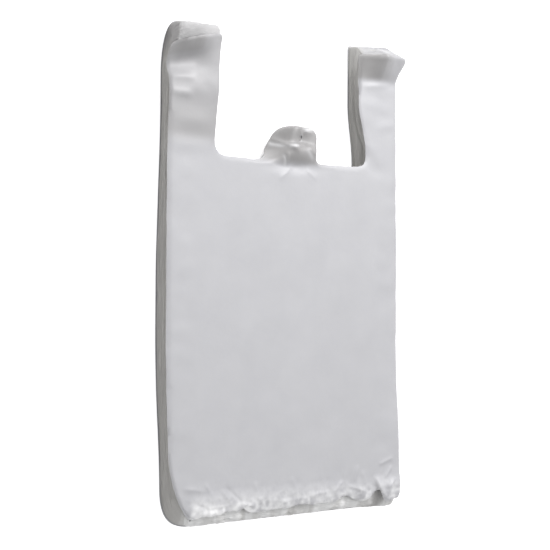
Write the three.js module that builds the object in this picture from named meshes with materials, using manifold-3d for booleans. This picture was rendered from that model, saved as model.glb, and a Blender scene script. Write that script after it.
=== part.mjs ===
// A block of vest carrier bags, the way they come off the bag-making line: thin film bags with
// folded-in sides and two handles, laid on each other and joined by one hot pin through the tab.
// It lies on its back. X runs across, Y from the base seals up to the handles, Z through the pack.
// Millimetres, origin under the middle of the pack.

import * as THREE from 'three';
import { mergeVertices } from 'three/addons/utils/BufferGeometryUtils.js';
import Module from 'manifold-3d';

// Pack
const WIDTH = 250;
const LENGTH = 450;
const SIDE_THICKNESS = 24; // where the folded sides make four films of every bag
const MIDDLE_THICKNESS = 20; // between the folds, two films of every bag
const FOLD_DEPTH = 65; // how far the sides are folded in
const FOLD_BLEND = 30; // width of the slope from the thick sides to the middle
const BAG_GROUPS = 5; // the pack slips in groups of bags, each a step behind the next

// How far the front bag stops short of the back bag at the base
const BASE_SLIP = 11;

// Cut-out between the handles
const CUT_DEPTH = 123.5;
const CUT_RADIUS = 15;
const LEFT_HANDLE_INNER_X = -80;
const RIGHT_HANDLE_INNER_X = 82;

// Tab that holds the pack together
const TAB = {
  baseLeft: -20,
  baseRight: 34,
  topLeft: 0,
  topRight: 31,
  height: 35,
  corner: 9,
  foot: 9, // the curve where the tab runs out into the cut-out's edge
};
const PIN = { x: 15, y: 125, radius: 2.5, craterDepth: 8, craterRadius: 11 };

// Corners of the outline, on the back bag and on the front bag
const HANDLE_CORNER = 9;
const BASE_LEFT_CORNER = { back: [31, 30], front: [27, 60] };
const BASE_RIGHT_CORNER = { back: [9, 11], front: [10, 13] };

// Handle tips, which curl up off the floor. Each value is given at the handle's edge next to the
// cut-out and at its outer edge: how far the back bag lifts, how far the pack there swells or
// flattens, and how far the front bag stops short of the back bag.
const TIP_START = 46; // measured down from the end of the back bag
const TIP_END = 15;
const LEFT_TIP = { lift: [4, 8], swell: [9, 3], slip: [16, 26] };
const RIGHT_TIP = { lift: [0, 17], swell: [6, -1], slip: [14, 16] };

// Faceting
const COLUMN_WIDTH = 12.5;
const ROW_LENGTH = 9;
const MARGIN = 6; // the rough slab stands this far outside the outline it is cut to
const CUTTER_DEPTH = 96; // deeper than the pack at its highest tip, half of it below the floor
const CURVE_SEGMENTS = 5;
const PIN_SEGMENTS = 12;
const MERGE_DISTANCE = 1e-4;

const wasm = await Module();
wasm.setup();

const HALF_WIDTH = WIDTH / 2;
const HALF_LENGTH = LENGTH / 2;
const CUT_Y = HALF_LENGTH - CUT_DEPTH;
const PLAIN_END_Y = CUT_Y - 12; // up to here the film surface is the same all along the body

function toSolid(geometry) {
  const bare = geometry.clone();
  bare.deleteAttribute('normal');
  bare.deleteAttribute('uv');
  const merged = mergeVertices(bare, MERGE_DISTANCE);
  return new wasm.Manifold(new wasm.Mesh({
    numProp: 3,
    vertProperties: new Float32Array(merged.attributes.position.array),
    triVerts: new Uint32Array(merged.index.array),
  }));
}

function toGeometry(solid) {
  const mesh = solid.getMesh();
  const geometry = new THREE.BufferGeometry();
  geometry.setAttribute('position', new THREE.BufferAttribute(mesh.vertProperties, 3));
  geometry.setIndex(new THREE.BufferAttribute(mesh.triVerts, 1));
  geometry.computeVertexNormals();
  return geometry;
}

// 0 at the start of a handle tip, 1 where its curl is complete
function tipAmount(y) {
  return THREE.MathUtils.smoothstep(y, HALF_LENGTH - TIP_START, HALF_LENGTH - TIP_END);
}

// A value that runs across the tip of the handle on this side of the pack
function acrossTip(x, name) {
  const [inner, outer] = (x < 0 ? LEFT_TIP : RIGHT_TIP)[name];
  const innerX = x < 0 ? LEFT_HANDLE_INNER_X : RIGHT_HANDLE_INNER_X;
  const outerX = x < 0 ? -HALF_WIDTH : HALF_WIDTH;
  const across = THREE.MathUtils.clamp((x - innerX) / (outerX - innerX), 0, 1);
  return THREE.MathUtils.lerp(inner, outer, across);
}

// Height of the film surface at a level of the pack: 0 is the back bag, 1 the front bag
function surfaceHeight(x, y, level) {
  const foldLine = HALF_WIDTH - FOLD_DEPTH;
  const side = THREE.MathUtils.smoothstep(
    Math.abs(x), foldLine - FOLD_BLEND / 2, foldLine + FOLD_BLEND / 2);
  const tip = tipAmount(y);
  const pinDistance = Math.hypot(x - PIN.x, y - PIN.y);
  const crater = PIN.craterDepth * Math.exp(-((pinDistance / PIN.craterRadius) ** 2));
  const thickness = THREE.MathUtils.lerp(MIDDLE_THICKNESS, SIDE_THICKNESS, side)
    + tip * acrossTip(x, 'swell') - crater;
  return tip * acrossTip(x, 'lift') + level * thickness;
}

// Films between two levels of the pack, before the outline is cut. The first row of facets is
// the plain body, and even rows follow it over the tab and the handles.
function filmSlab(backLevel, frontLevel) {
  const columns = Math.round((WIDTH + 2 * MARGIN) / COLUMN_WIDTH);
  const shapedLength = HALF_LENGTH + MARGIN - PLAIN_END_Y;
  const shapedRows = Math.round(shapedLength / ROW_LENGTH);
  const slab = new THREE.BoxGeometry(WIDTH + 2 * MARGIN, 1, 1, columns, 1 + shapedRows, 1);
  const position = slab.attributes.position;
  for (let i = 0; i < position.count; i += 1) {
    const row = Math.round((position.getY(i) + 0.5) * (1 + shapedRows));
    const x = position.getX(i);
    const y = row === 0
      ? -HALF_LENGTH - MARGIN
      : PLAIN_END_Y + ((row - 1) / shapedRows) * shapedLength;
    const level = position.getZ(i) > 0 ? frontLevel : backLevel;
    position.setXYZ(i, x, y, surfaceHeight(x, y, level));
  }
  return toSolid(slab);
}

// Outline of a bag at a level of the pack
function bagOutline(level) {
  const base = -HALF_LENGTH + BASE_SLIP * level ** 2;
  const top = (x) => HALF_LENGTH - acrossTip(x, 'slip') * level;
  const left = -HALF_WIDTH;
  const right = HALF_WIDTH;
  const innerLeft = LEFT_HANDLE_INNER_X;
  const innerRight = RIGHT_HANDLE_INNER_X;
  const corner = (sizes, axis) => THREE.MathUtils.lerp(sizes.back[axis], sizes.front[axis], level);
  const leftX = corner(BASE_LEFT_CORNER, 0);
  const leftY = corner(BASE_LEFT_CORNER, 1);
  const rightX = corner(BASE_RIGHT_CORNER, 0);
  const rightY = corner(BASE_RIGHT_CORNER, 1);
  const tabTop = CUT_Y + TAB.height;
  const outline = new THREE.Shape();
  outline.moveTo(left + leftX, base);
  outline.lineTo(right - rightX, base);
  outline.quadraticCurveTo(right, base, right, base + rightY);
  // right handle
  outline.lineTo(right, top(right) - HANDLE_CORNER);
  outline.quadraticCurveTo(right, top(right), right - HANDLE_CORNER, top(right - HANDLE_CORNER));
  outline.lineTo(innerRight, top(innerRight));
  outline.lineTo(innerRight, CUT_Y + CUT_RADIUS);
  outline.quadraticCurveTo(innerRight, CUT_Y, innerRight - CUT_RADIUS, CUT_Y);
  // tab, from its right foot over the top to its left foot
  outline.lineTo(TAB.baseRight + TAB.foot, CUT_Y);
  outline.quadraticCurveTo(TAB.baseRight, CUT_Y, TAB.baseRight, CUT_Y + TAB.foot);
  outline.lineTo(TAB.topRight, tabTop - TAB.corner);
  outline.quadraticCurveTo(TAB.topRight, tabTop, TAB.topRight - TAB.corner, tabTop);
  outline.lineTo(TAB.topLeft + TAB.corner, tabTop);
  outline.quadraticCurveTo(TAB.topLeft, tabTop, TAB.topLeft - TAB.corner / 2, tabTop - TAB.corner);
  outline.lineTo(TAB.baseLeft + TAB.foot / 2, CUT_Y + TAB.foot);
  outline.quadraticCurveTo(TAB.baseLeft, CUT_Y, TAB.baseLeft - TAB.foot, CUT_Y);
  // left handle
  outline.lineTo(innerLeft + CUT_RADIUS, CUT_Y);
  outline.quadraticCurveTo(innerLeft, CUT_Y, innerLeft, CUT_Y + CUT_RADIUS);
  outline.lineTo(innerLeft, top(innerLeft) - HANDLE_CORNER);
  outline.quadraticCurveTo(
    innerLeft, top(innerLeft), innerLeft - HANDLE_CORNER, top(innerLeft - HANDLE_CORNER));
  outline.lineTo(left + HANDLE_CORNER, top(left + HANDLE_CORNER));
  outline.quadraticCurveTo(left, top(left), left, top(left) - HANDLE_CORNER);
  outline.lineTo(left, base + leftY);
  outline.quadraticCurveTo(left, base, left + leftX, base);
  return outline;
}

// A group of bags: every film from well inside the group behind it up to its own front film.
// The overlap with the group behind makes the join between them sound.
function bagGroup(index) {
  const frontLevel = (index + 1) / BAG_GROUPS;
  const backLevel = index === 0 ? 0 : (index - 0.5) / BAG_GROUPS;
  const outlineLevel = index / (BAG_GROUPS - 1);
  const cutter = new THREE.ExtrudeGeometry(bagOutline(outlineLevel), {
    depth: CUTTER_DEPTH,
    bevelEnabled: false,
    curveSegments: CURVE_SEGMENTS,
  });
  cutter.translate(0, 0, -CUTTER_DEPTH / 2);
  return filmSlab(backLevel, frontLevel).intersect(toSolid(cutter));
}

// The bags are fused at the pin, so the pack is one piece
function bagBlock() {
  let solid = bagGroup(0);
  for (let index = 1; index < BAG_GROUPS; index += 1) {
    solid = solid.add(bagGroup(index));
  }
  const pin = new THREE.CylinderGeometry(PIN.radius, PIN.radius, CUTTER_DEPTH, PIN_SEGMENTS);
  pin.rotateX(Math.PI / 2);
  pin.translate(PIN.x, PIN.y, 0);
  return toGeometry(solid.subtract(toSolid(pin)));
}

const film = new THREE.MeshStandardMaterial({ color: 0xe4e4e8, roughness: 0.5, metalness: 0 });
const block = new THREE.Mesh(bagBlock(), film);
block.name = 'bag_block';

const bags = new THREE.Group();
bags.add(block);

export default bags;
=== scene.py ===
import math

import bpy
import numpy as np
from bpy.props import FloatProperty, FloatVectorProperty, IntProperty, PointerProperty
from mathutils import Matrix, Vector
from mathutils.geometry import delaunay_2d_cdt


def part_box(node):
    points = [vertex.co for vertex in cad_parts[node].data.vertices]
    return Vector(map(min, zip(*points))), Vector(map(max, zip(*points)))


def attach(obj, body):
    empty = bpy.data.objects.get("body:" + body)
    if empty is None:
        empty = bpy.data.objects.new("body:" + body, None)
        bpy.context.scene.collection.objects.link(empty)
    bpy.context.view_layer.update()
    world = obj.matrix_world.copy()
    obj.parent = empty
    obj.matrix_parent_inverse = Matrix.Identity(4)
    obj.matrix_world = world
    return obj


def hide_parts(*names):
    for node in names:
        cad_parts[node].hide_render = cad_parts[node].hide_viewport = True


bl_info = {
    "name": "Carrier Bag Block",
    "version": (1, 0, 0),
    "blender": (4, 5, 0),
    "location": "View3D > Sidebar > Bag Block",
    "description": "Builds a pack of vest carrier bags of thin film, fused at a pinned tab",
    "category": "Add Mesh",
}

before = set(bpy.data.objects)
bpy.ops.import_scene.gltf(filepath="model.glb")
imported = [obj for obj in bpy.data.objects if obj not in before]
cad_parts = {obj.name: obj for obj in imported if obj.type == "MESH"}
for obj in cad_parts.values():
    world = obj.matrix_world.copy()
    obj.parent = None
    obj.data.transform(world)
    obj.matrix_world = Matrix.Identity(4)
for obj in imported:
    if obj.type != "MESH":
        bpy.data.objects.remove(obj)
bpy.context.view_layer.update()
LOW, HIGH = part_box("bag_block")
MM = 0.001

# Pack. X runs across, Y from the base seals to the handle tips, Z through the pack. A level of
# the pack is 0 on the back bag and 1 on the front bag.
HALF_WIDTH = (HIGH.x - LOW.x) / 2
HALF_LENGTH = (HIGH.y - LOW.y) / 2
SIDE_THICKNESS = 24 * MM
MIDDLE_THICKNESS = 20 * MM
FOLD_NEAR = 45 * MM
FOLD_FAR = 100 * MM
BASE_PINCH = 0.2

# Cut-out, tab and pin
CUT_Y = HALF_LENGTH - 123.5 * MM
LEFT_CUT_RADIUS = 15 * MM
RIGHT_CUT_RADIUS = (5 * MM, 13 * MM)
INNER_LEFT = -80 * MM
INNER_RIGHT = 82.5 * MM
TAB_BASE = (-18.5 * MM, 31 * MM)
TAB_TOP = (-0.5 * MM, 30.5 * MM)
TAB_HEIGHT = 34 * MM
TAB_CORNER = 9 * MM
TAB_FOOT = 9 * MM
TAB_LEAN = 4 * MM  # how far the front bag's tab leans left of the back bag's
PIN = np.array((15.0, 125.0)) * MM
PIN_HOLE = (1.3 * MM, 2.6 * MM)
PIN_TILT = math.radians(-20)
PIN_POINTS = 20

# Corners of the outline, on the back bag and on the front bag
LEFT_TIP_CORNER = ((13 * MM, 30 * MM), (5 * MM, 8 * MM))
RIGHT_TIP_CORNER = (9 * MM, 5 * MM)
BASE_LEFT_CORNER = ((31 * MM, 30 * MM), (20 * MM, 52 * MM))
BASE_RIGHT_CORNER = ((4 * MM, 6 * MM), (5 * MM, 7 * MM))

# How far the front bag stops short of the back bag. Part of a slip grows evenly through the pack,
# and the rest late, in the last bags.
LATE_POWER = 7
TIP_SLACK = 3 * MM
BASE_SLIP = (3 * MM, 8 * MM)  # even and late
LEFT_TIP_SLIP = {"even": (4 * MM, 8 * MM), "late": (10 * MM, 18 * MM)}
RIGHT_TIP_SLIP = {"even": (4 * MM, 14 * MM), "late": (9 * MM, 0 * MM)}

# How closely the points of a bag's edge stand
EDGE_SPACING = 1.8 * MM
PLAIN_SPACING = 5 * MM  # along the body's long plain sides
LONG_SIDE = 300  # a stretch longer than this, in millimetres, is one of those

# Dips of the front bag's base seal: place along X, depth and width, in millimetres
SEAL_DIPS = ((-62, 3, 9), (-46, 4, 5), (16, 3, 8), (67, 7, 10), (102, 10, 6), (114, -3, 6))

# Films. The front and back bags are closed sheets. An inner bag is a band along its edge.
FRONT_FILM = 0.35 * MM
BACK_FILM = 0.3 * MM
FRONT_OVERHANG = 0.8 * MM  # how far the front bag's edge reaches past the others
MEAN_RELIEF = 0.9 * MM  # the middle height of the front bag's waves and creases
FRONT_LIFT = 0.4 * MM  # keeps the front bag clear of the bag behind it
SEAL_LIFT = 2.4 * MM  # how much further it stands off at its loose base seal
FOLDED_ROLL = (1.6 * MM, 2.4 * MM)  # how far its folded sides turn down, and over what width
CUT_ROLL = (0.8 * MM, 2.5 * MM)  # the same for its cut and sealed edges
TUCKED_ROLL = (1.3 * MM, 3.0 * MM)  # and what is added where it is drawn over the others
BACK_LIFT = 0.4 * MM  # keeps the back bag clear of the floor
BAND = 13 * MM  # how far each inner bag is modelled in from its edge
TIP_PUFF = 2.2  # how much the loose film at the handles' cut ends is puffed up
EVEN_LEVEL = 0.6  # a level between the ends at which the films' places are matched exactly
LEAST_ROUGH = 0.06  # how crumpled the smoothest edges are, where a seal is 1
GAP_LEVEL = 0.97  # the level of the gap under the front bag's base seal
GAP_WIDTH = 0.05  # how wide a gap is, as a part of the pack
FLOOR_SIDE = 20  # half the floor's side, in metres

# How the noise along the edge changes from bag to bag: its cells through the whole pack
GROUP_CELLS = 11
BAG_CELLS = 370
FACET_CELLS = 6
SHRED_CELLS = 30
LIFT_CELLS = 5
LIFT_START = 7  # past the facets' last cell, so that the two don't match
SHRED_LENGTH = 0.3  # length of a shred, in lengths of a facet
SHRED_PART = 0.45  # depth of the shreds, in depths of the facets
STICK_OUT = 0.15  # how much of the crumpling may stick out past the edge
CRUMPLE_HIDES = 0.75  # how much of the slip of single bags crumpled film hides
LOOSE_LIFT = 3 * MM  # how far crumpled film rises and sinks
FLOOR_FADE = 1 / 6  # the levels over which crumpling grows from nothing at the floor


# ---------------------------------------------------------------- numbers


def smoothstep(value, low, high):
    t = np.clip((value - low) / (high - low), 0, 1)
    return t * t * (3 - 2 * t)


def step_mm(value, low, high):
    """A smooth step from 0 to 1 between two places in millimetres."""
    return smoothstep(value, low * MM, high * MM)


def near_end(value, far, near):
    """A smooth step from 0 to 1 between two distances from the pack's end, in millimetres."""
    return smoothstep(value, HALF_LENGTH - far * MM, HALF_LENGTH - near * MM)


def mix(a, b, t):
    return a + (b - a) * t


def bell(value, centre, width):
    return np.exp(-(((value - centre) / width) ** 2))


def bell_mm(value, centre, width):
    return bell(value, centre * MM, width * MM)


def lattice(ix, iy, seed):
    """A fixed pseudo-random number from 0 to 1 for each cell corner."""
    h = (ix * 374761393 + iy * 668265263 + seed * 2147483647) & 0xFFFFFFFF
    h = ((h ^ (h >> 13)) * 1274126177) & 0xFFFFFFFF
    return ((h ^ (h >> 16)) & 0xFFFF) / 0xFFFF


def noise(x, y, seed):
    """Smooth noise from -1 to 1 over cells of unit size."""
    ix = np.floor(x).astype(np.int64)
    iy = np.floor(y).astype(np.int64)
    u = smoothstep(x - ix, 0, 1)
    v = smoothstep(y - iy, 0, 1)
    low = mix(lattice(ix, iy, seed), lattice(ix + 1, iy, seed), u)
    high = mix(lattice(ix, iy + 1, seed), lattice(ix + 1, iy + 1, seed), u)
    return 2 * mix(low, high, v) - 1


def noise_mm(x, y, width, length, seed):
    """Noise over cells of a width and length in millimetres."""
    return noise(x / (width * MM), y / (length * MM), seed)


def line_noise(x, width, seed):
    """Noise along one line, over cells of a width in millimetres."""
    return noise(x / (width * MM), x * 0, seed)


def folded_noise(x, y, seed, octaves=3):
    """Noise with sharp ridges where crumpled film creases, from about 0 to 1."""
    total = 0
    weight = 1
    sum_of_weights = 0
    for octave in range(octaves):
        total = total + weight * (1 - np.abs(noise(x, y, seed + octave)))
        sum_of_weights += weight
        x, y = 1.9 * x + 0.7 * y, 1.9 * y - 0.7 * x
        weight *= 0.5
    return total / sum_of_weights


# ---------------------------------------------------------------- pack shape


def across_handle(x):
    """0 at the edge of a handle next to the cut-out, 1 at its outer edge."""
    left = (x - INNER_LEFT) / (-HALF_WIDTH - INNER_LEFT)
    right = (x - INNER_RIGHT) / (HALF_WIDTH - INNER_RIGHT)
    return np.clip(np.where(x < 0, left, right), 0, 1)


def back_lift(x, y):
    """How far the back bag lifts off the floor at the curling handle tips."""
    a = across_handle(x)
    left = mix(4 * MM, 8 * MM, a) * step_mm(y, 178, 224)
    right = 17 * MM * a * step_mm(y, 183, 216)
    return np.where(x < 0, left, right)


def ramp(value, low, high, soft):
    """0 up to low, then rising straight to 1 at high, a little past it, and no further."""
    rise = np.minimum(value, high + 5 * MM) - low
    return 0.5 * (rise + np.sqrt(rise**2 + soft**2)) / (high - low)


def front_rise(x, y):
    """How far the front bag rises or sinks at the handle tips, on top of the pack's thickness."""
    a = across_handle(x)
    slope = 12 * MM * (1 - a) * step_mm(y, 112, 212)
    hump = 3.5 * MM * (step_mm(y, 96, 156) - step_mm(y, 156, 182))
    foot = mix(199 * MM, 182 * MM, a**0.5)
    height = mix(4 * MM, 14 * MM, smoothstep(a, 0, 0.6))
    height *= 1 - 0.6 * smoothstep(a, 0.75, 1)
    curl = height * ramp(y, foot, mix(211 * MM, 198 * MM, a), 5 * MM)
    valley = -3.5 * MM * smoothstep(a, 0.1, 0.5) * bell(y, mix(188 * MM, 179 * MM, a), 8 * MM)
    right_inner = -2 * MM * step_mm(y, 160, 188)
    right_middle = 12 * MM * ramp(y, 187 * MM, 203 * MM, 3 * MM)
    right_outer = 10 * MM * ramp(y, 188 * MM, 209 * MM, 3 * MM)
    right = mix(right_inner, right_middle, np.clip(a / 0.5, 0, 1) ** 0.9)
    right = mix(right, right_outer, smoothstep(a, 0.3, 1)) - 0.5 * MM * bell_mm(y, 186, 5)
    left = slope + hump + curl + valley
    return mix(right, left, step_mm(-x, -14, 8))


def tab_bulge(x, y):
    """The tab's films bulge above the cut and are drawn down around the pin."""
    middle = bell_mm(x, 7, 27)
    bulge = 7 * MM * step_mm(y, 97, 113) - 4.5 * MM * step_mm(y, 113, 122)
    bulge += 6 * MM * bell_mm(x, 1, 12) * step_mm(y, 119, 137)
    bulge -= 3 * MM * bell_mm(x, 23, 9) * step_mm(y, 127, 137)
    crater = 5 * MM * np.exp(-((np.hypot(x - PIN[0], y - PIN[1]) / (7 * MM)) ** 2))
    return bulge * middle - 1.2 * MM * middle * bell_mm(y, 97, 5) - crater


def tab_pinch(x, y):
    """What is left of the pack's thickness towards the tab's left edge, pinched by the cut."""
    foot = np.array((TAB_BASE[0] + TAB_FOOT / 2, CUT_Y + TAB_FOOT))
    shoulder = np.array((TAB_TOP[0] - TAB_CORNER * 0.6, CUT_Y + TAB_HEIGHT - TAB_CORNER))
    edge_x = mix(foot[0], shoulder[0], (y - foot[1]) / (shoulder[1] - foot[1])) - TAB_LEAN
    near_edge = bell(np.maximum(x - edge_x, 0), 0, 11 * MM) * step_mm(x, -50, -30)
    return 1 - 0.7 * step_mm(y, 98, 115) * near_edge


def pack_thickness(x, y):
    side = smoothstep(np.abs(x), FOLD_NEAR, FOLD_FAR)
    thickness = mix(MIDDLE_THICKNESS, SIDE_THICKNESS, side)
    thickness = thickness * (1 - BASE_PINCH * step_mm(-y, 200, 228))
    return (thickness + tab_bulge(x, y)) * tab_pinch(x, y)


def film_height(x, y, level):
    back = back_lift(x, y)
    front = pack_thickness(x, y) + front_rise(x, y)
    return back + (front - back) * level


def slipped(points, level):
    """The pack's slips sideways: its base leans right and its handles lean in."""
    x, y = points[:, 0], points[:, 1]
    lean = 4.5 * MM * step_mm(-y, 60, 215)
    lean += 1 * MM * (1 - level) * step_mm(-y, 60, 190) * step_mm(-x, 60, 120)
    lean += 6 * MM * (1 - level) * step_mm(-y, 196, 216) * step_mm(x, 96, 120)
    left_side = step_mm(-x, 82, 122) * step_mm(y, -10, 150)
    left_slip = mix(3.4 * MM, -0.5 * MM, level) * left_side
    flare = 5 * MM * step_mm(y, 190, 211) - 1 * MM * step_mm(y, 20, 90)
    flare = flare * level * step_mm(x, 100, 122)
    left_flare = mix(5.5 * MM, 0.5 * MM, level) * step_mm(y, 192, 214)
    flare += left_flare * step_mm(x, -108, -84) * (x < 0)
    inner_side = step_mm(x, 60, 80) * step_mm(-x, -112, -90)
    near_cut = step_mm(-y, -168, -108)
    inner_slip = mix(5.3 * MM, 7 * MM, level) * near_cut - 1.5 * MM * level * bell_mm(y, 160, 14)
    down = 5.2 * MM - 0.6 * MM * x / HALF_WIDTH + 1.6 * MM * step_mm(x, 95, 120)
    down = down * step_mm(-y, 185, 222)
    return np.column_stack((x + lean + left_slip + flare + inner_slip * inner_side, y - down))


def line(start, end, count):
    t = np.arange(count)[:, None] / count
    return mix(np.array(start), np.array(end), t)


def bend(start, corner, end, count):
    t = np.arange(count)[:, None] / count
    first = mix(np.array(start), np.array(corner), t)
    return mix(first, mix(np.array(corner), np.array(end), t), t)


def outline(level, fine=1.0):
    """The edge of a bag at a level, anticlockwise from the base's left corner, with the same
    number of points at every level. fine above 1 sets them closer."""
    late = level**LATE_POWER
    base = -HALF_LENGTH + BASE_SLIP[0] * level + BASE_SLIP[1] * late
    top = HALF_LENGTH - TIP_SLACK
    left, right = -HALF_WIDTH, HALF_WIDTH
    left_dx, left_dy = mix(np.array(BASE_LEFT_CORNER[0]), np.array(BASE_LEFT_CORNER[1]), level)
    right_dx, right_dy = mix(np.array(BASE_RIGHT_CORNER[0]), np.array(BASE_RIGHT_CORNER[1]), level)
    tip_dx, tip_dy = mix(np.array(LEFT_TIP_CORNER[0]), np.array(LEFT_TIP_CORNER[1]), level)
    tip_right = mix(*RIGHT_TIP_CORNER, level)
    r = LEFT_CUT_RADIUS
    q = mix(*RIGHT_CUT_RADIUS, level)
    tab_top = CUT_Y + TAB_HEIGHT
    tab_left = TAB_TOP[0] - TAB_LEAN * level
    foot_left = TAB_BASE[0] - TAB_LEAN * level

    def left_top(x):
        a = across_handle(x)
        return top - mix(*LEFT_TIP_SLIP["even"], a) * level - mix(*LEFT_TIP_SLIP["late"], a) * late

    def right_top(x):
        a = across_handle(x)
        even = mix(*RIGHT_TIP_SLIP["even"], a) * level
        return HALF_LENGTH - even - mix(*RIGHT_TIP_SLIP["late"], a) * late

    inner = INNER_RIGHT + 2 * MM
    tip_left = INNER_LEFT - 5 * MM
    tab_right = TAB_TOP[1] + 2 * MM
    shoulder = (tab_left - TAB_CORNER * 0.6, tab_top - TAB_CORNER)
    # each stretch's rough length in millimetres, a bend's corner, and its end
    stretches = (
        (220, (right - right_dx, base)),
        (14, (right, base), (right, base + right_dy)),
        (350, (right, 150 * MM)),
        # right handle
        (60, (right, right_top(right) - tip_right)),
        (12, (right, right_top(right)), (right - tip_right, right_top(right - tip_right))),
        (40, (inner, right_top(inner))),
        (2, (INNER_RIGHT, right_top(INNER_RIGHT)), (INNER_RIGHT, right_top(INNER_RIGHT) - 2 * MM)),
        (100, (INNER_RIGHT, CUT_Y + q)),
        (20, (INNER_RIGHT, CUT_Y), (INNER_RIGHT - q, CUT_Y)),
        (28, (TAB_BASE[1] + TAB_FOOT, CUT_Y)),
        # tab
        (14, (TAB_BASE[1], CUT_Y), (TAB_BASE[1], CUT_Y + TAB_FOOT)),
        (16, (tab_right, tab_top - TAB_CORNER)),
        (16, (TAB_TOP[1] + 1 * MM, tab_top), (TAB_TOP[1] - TAB_CORNER, tab_top)),
        (12, (tab_left + TAB_CORNER, tab_top)),
        (16, (tab_left, tab_top), shoulder),
        (18, (foot_left + TAB_FOOT / 2, CUT_Y + TAB_FOOT)),
        (20, (foot_left - 1 * MM, CUT_Y), (foot_left - 1.5 * TAB_FOOT, CUT_Y)),
        # left handle
        (32, (INNER_LEFT + r, CUT_Y)),
        (22, (INNER_LEFT, CUT_Y), (INNER_LEFT, CUT_Y + r)),
        (100, (INNER_LEFT, left_top(INNER_LEFT) - 5 * MM)),
        (8, (INNER_LEFT, left_top(INNER_LEFT)), (tip_left, left_top(tip_left))),
        (36, (left + tip_dx, left_top(left + tip_dx))),
        (26, (left, left_top(left)), (left, left_top(left) - tip_dy)),
        (60, (left, 150 * MM)),
        (330, (left, base + left_dy)),
        (50, (left + 1 * MM * level, base + 13 * MM * level), (left + left_dx, base)),
    )
    path = []
    start = (left + left_dx, base)
    for length, *ends in stretches:
        spacing = PLAIN_SPACING if length > LONG_SIDE else EDGE_SPACING
        count = max(3, round(length * MM / spacing * fine))
        path.append((line if len(ends) == 1 else bend)(start, *ends, count))
        start = ends[-1]
    return slipped(np.concatenate(path), level)


def inward_normals(points):
    along = np.roll(points, -1, axis=0) - np.roll(points, 1, axis=0)
    normals = np.stack((-along[:, 1], along[:, 0]), axis=1)
    return normals / np.linalg.norm(normals, axis=1, keepdims=True)


def seal_mask(x, y):
    """1 at the base seal and the handle seals, falling to 0 further in."""
    base = near_end(-y, 34, 8)
    tips = near_end(y, 34, 14)
    return np.maximum(base, tips)


def base_painted_light_mask(x, y):
    """1 along the base seal right of its left corner, where the film is lighter: partly the whiter
    look of crumpled film, partly painted light standing in for light that the seal strip catches.
    """
    return near_end(-y, 30, 4) * step_mm(x, -103, -97)


def tip_mask(x, y):
    """1 at the cut ends of the handles, away from their outer corners."""
    ends = near_end(y, 26, 14)
    left = step_mm(x, -117, -110)
    return ends * np.where(x < 0, left, step_mm(x, 83, 87))


def tucked_mask(x, y):
    """1 where the front bag's edge is drawn down over the others: at the tab, and at the edge of
    the right handle's tip next to the cut-out."""
    tab = step_mm(y, 95, 103) * step_mm(np.abs(x - 5 * MM), 50, 42)
    tip = step_mm(y, 165, 190) * step_mm(x, 70, 80) * step_mm(x, 100, 94)
    return np.maximum(tab, tip)


def off_tip_corners(x):
    """0 at the corners of the handles' cut ends, 1 between them."""
    left = step_mm(x, -116, -103) * step_mm(-x, 80, 90)
    right = step_mm(x, 83, 92) * step_mm(-x, -125, -117)
    return np.where(x < 0, left, right)


def tip_side_painted_shade_mask(x, y):
    """1 on the outer side of the left handle's tip, up to its cut end, where painted shade darkens the
    stacked edges to stand in for the shade on that side.
    """
    return step_mm(-x, 110, 114) * step_mm(y, 176, 206)


def tab_painted_shade_mask(x, y):
    """1 over the tab, where painted shade darkens the films to stand in for the shade on them, as they
    face away from the key light.
    """
    across = step_mm(x, -40, -14) * step_mm(-x, -52, -34)
    return across * step_mm(y, 98, 105) * step_mm(-y, -150, -140)


def curl_painted_shade_mask(x, y):
    """Painted shade on the handles: 1 on the right handle's tip next to the cut-out, falling to 0.2 at
    its outer edge; on the left, 0.8 at the curling tip and less over the rest of the left side above
    the cut. It stands in for the shade on film that faces away from the key light.
    """
    a = across_handle(x)
    foot = mix(197 * MM, 181 * MM, a**0.5)
    left = smoothstep(y, foot, foot + 8 * MM) * smoothstep(a, 0.1, 0.5)
    left = np.maximum(left, step_mm(y, 105, 122) * mix(0.85, 0.6, step_mm(y, 130, 165)))
    right = step_mm(y, 186, 192) * mix(1, 0.2, smoothstep(a, 0.25, 0.85))
    return np.where(x < 0, 0.8 * left, right)


def gap_of_edge(points):
    """At which level a gap between two groups of bags shows along the edge, and how deep."""
    x, y = points[:, 0], points[:, 1]
    left = x < -HALF_WIDTH + 14 * MM
    inner = (x > INNER_RIGHT - 6 * MM) & (x < INNER_RIGHT + 14 * MM) & (y > CUT_Y + 3 * MM)
    drift = 0.05 * line_noise(y, 45, 31)
    inner_level = mix(0.35, 0.62, step_mm(-y, -170, -110))
    level = np.where(left, 0.7, np.where(inner, inner_level, 0.5))
    left_depth = 5 * MM * step_mm(y, 10, 110) * step_mm(-y, -200, -185) + 1 * MM
    inner_depth = 6 * MM * step_mm(-y, -205, -180)
    depth = np.where(left, left_depth, np.where(inner, inner_depth, 0.5 * MM))
    # under the front bag's seal the bags just behind it stand back at both corners and in three
    # places between them
    base = y < -HALF_LENGTH + 6 * MM
    left_corner = step_mm(x, -98, -84) * step_mm(-x, 68, 80)
    right_corner = step_mm(x, 92, 98)
    seal_depth = 5 * MM * left_corner + 4 * MM * right_corner
    for place, width in ((-36, 14), (28, 18), (76, 11)):
        seal_depth += 9 * MM * bell_mm(x, place, width)
    level = np.where(base, GAP_LEVEL, level + drift)
    return level, np.where(base, seal_depth, depth)


# ---------------------------------------------------------------- meshes


def new_piece(name, mesh):
    piece = bpy.data.objects.new(name, mesh)
    bpy.context.scene.collection.objects.link(piece)
    return piece


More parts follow.
